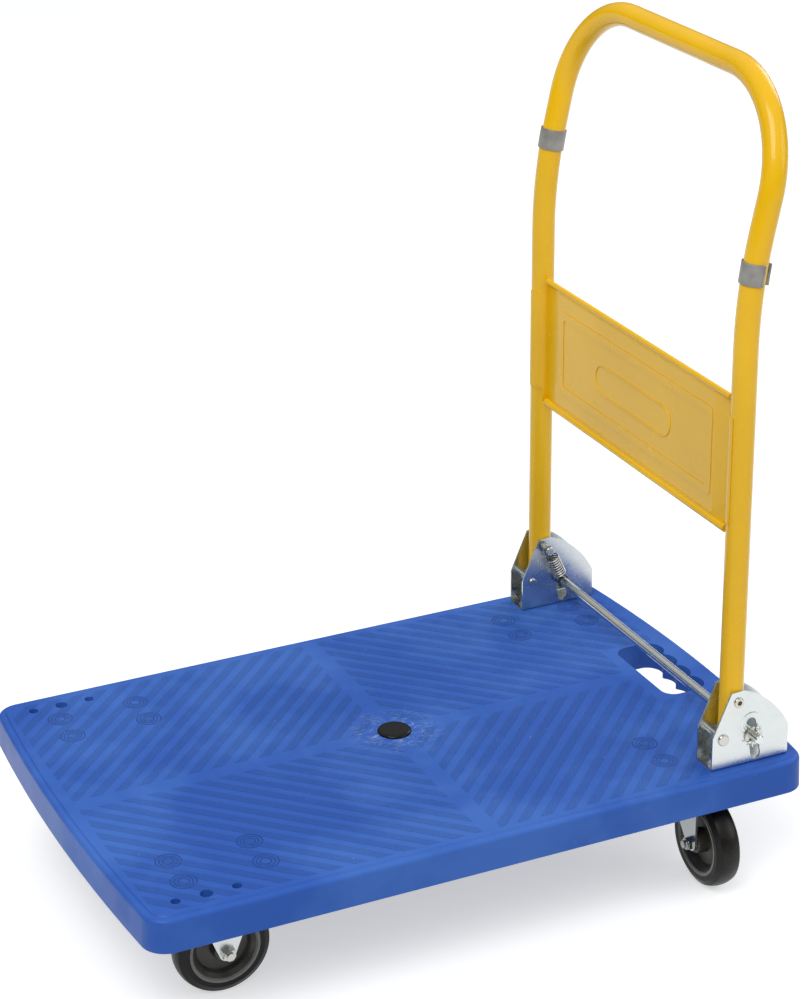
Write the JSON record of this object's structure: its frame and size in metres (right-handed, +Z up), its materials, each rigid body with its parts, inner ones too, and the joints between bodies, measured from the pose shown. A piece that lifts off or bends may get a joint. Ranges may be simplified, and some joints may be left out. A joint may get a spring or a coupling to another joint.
{
  "type": "folding platform cart",
  "caption": "Folding platform cart: moulded deck on fixed front and swivel rear casters, with a fold-down tube push handle locked upright by a spring-loaded foot rod.",
  "frame": {"origin": "on the floor under the middle of the deck", "axes": "+X is the way the cart is pushed, away from the handle; +Y is the cart's left; +Z is up"},
  "size_m": [0.7478, 0.5, 0.861],
  "materials": {
    "deck_plastic": "moulded blue polypropylene, satin, with stippled tread bands",
    "black_plastic": "satin black plug",
    "zinc_steel": "bright zinc plating with a faint blue tint",
    "spring_steel": "bare drawn steel",
    "yellow_paint": "gloss yellow powder coat",
    "grey_clip": "satin grey",
    "tyre_rubber": "smooth black solid rubber",
    "wheel_plastic": "dark grey moulded polypropylene with a lighter rim ring"
  },
  "bodies": {
    "platform": {"deck": "deck_plastic", "centre_cap": "black_plastic", "bracket_bolts": "zinc_steel", "bracket_washers": "zinc_steel", "bracket_nuts": "zinc_steel", "caster_screws": "zinc_steel", "bracket_left": "zinc_steel", "pivot_rivet_left": "zinc_steel", "stop_rivet_left": "zinc_steel", "stop_sleeve_left": "zinc_steel", "lock_spring_left": "spring_steel", "fixed_fork_left": "zinc_steel", "swivel_plate_left": "zinc_steel", "kingpin_left": "zinc_steel", "axle_bolt_front_left": "zinc_steel", "axle_nut_front_left": "zinc_steel", "bracket_right": "zinc_steel", "pivot_rivet_right": "zinc_steel", "stop_rivet_right": "zinc_steel", "stop_sleeve_right": "zinc_steel", "lock_spring_right": "spring_steel", "fixed_fork_right": "zinc_steel", "swivel_plate_right": "zinc_steel", "kingpin_right": "zinc_steel", "axle_bolt_front_right": "zinc_steel", "axle_nut_front_right": "zinc_steel"},
    "handle": {"handle_tube": "yellow_paint", "cross_panel": "yellow_paint", "tube_clip_left": "grey_clip", "tube_clip_right": "grey_clip"},
    "lock_bar": {"lock_rod": "zinc_steel", "lock_washers": "zinc_steel", "split_pins": "zinc_steel"},
    "swivel_left": {"swivel_fork_left": "zinc_steel", "race_balls_left": "spring_steel", "axle_bolt_rear_left": "zinc_steel", "axle_nut_rear_left": "zinc_steel"},
    "wheel_front_left": {"tyre_front_left": "tyre_rubber", "wheel_core_front_left": "wheel_plastic", "wheel_bush_front_left": "spring_steel"},
    "wheel_rear_left": {"tyre_rear_left": "tyre_rubber", "wheel_core_rear_left": "wheel_plastic", "wheel_bush_rear_left": "spring_steel"},
    "swivel_right": {"swivel_fork_right": "zinc_steel", "race_balls_right": "spring_steel", "axle_bolt_rear_right": "zinc_steel", "axle_nut_rear_right": "zinc_steel"},
    "wheel_front_right": {"tyre_front_right": "tyre_rubber", "wheel_core_front_right": "wheel_plastic", "wheel_bush_front_right": "spring_steel"},
    "wheel_rear_right": {"tyre_rear_right": "tyre_rubber", "wheel_core_rear_right": "wheel_plastic", "wheel_bush_rear_right": "spring_steel"}
  },
  "joints": [
    {"name": "handle_fold", "type": "hinge", "parent": "platform", "child": "handle", "pos_m": [-0.2822, 0, 0.2162], "axis": [0, 1, 0], "range_deg": [0, 90]},
    {"name": "lock_press", "type": "slide", "parent": "platform", "child": "lock_bar", "axis": [-0.1736, 0, -0.9848], "range_m": [0, 0.018], "stiffness_N_per_m": 1500, "springref_m": -0.012, "deforming": ["lock_spring_left", "lock_spring_right"]},
    {"name": "swivel_turn_left", "type": "hinge", "parent": "platform", "child": "swivel_left", "pos_m": [-0.265, 0.16, 0.115], "axis": [0, 0, 1], "continuous": true},
    {"name": "wheel_spin_front_left", "type": "hinge", "parent": "platform", "child": "wheel_front_left", "pos_m": [0.265, 0.16, 0.05], "axis": [0, 1, 0], "continuous": true},
    {"name": "wheel_spin_rear_left", "type": "hinge", "parent": "swivel_left", "child": "wheel_rear_left", "pos_m": [-0.265, 0.2, 0.05], "axis": [1, 0, 0], "continuous": true},
    {"name": "swivel_turn_right", "type": "hinge", "parent": "platform", "child": "swivel_right", "pos_m": [-0.265, -0.16, 0.115], "axis": [0, 0, 1], "continuous": true},
    {"name": "wheel_spin_front_right", "type": "hinge", "parent": "platform", "child": "wheel_front_right", "pos_m": [0.265, -0.16, 0.05], "axis": [0, 1, 0], "continuous": true},
    {"name": "wheel_spin_rear_right", "type": "hinge", "parent": "swivel_right", "child": "wheel_rear_right", "pos_m": [-0.265, -0.2, 0.05], "axis": [1, 0, 0], "continuous": true}
  ]
}
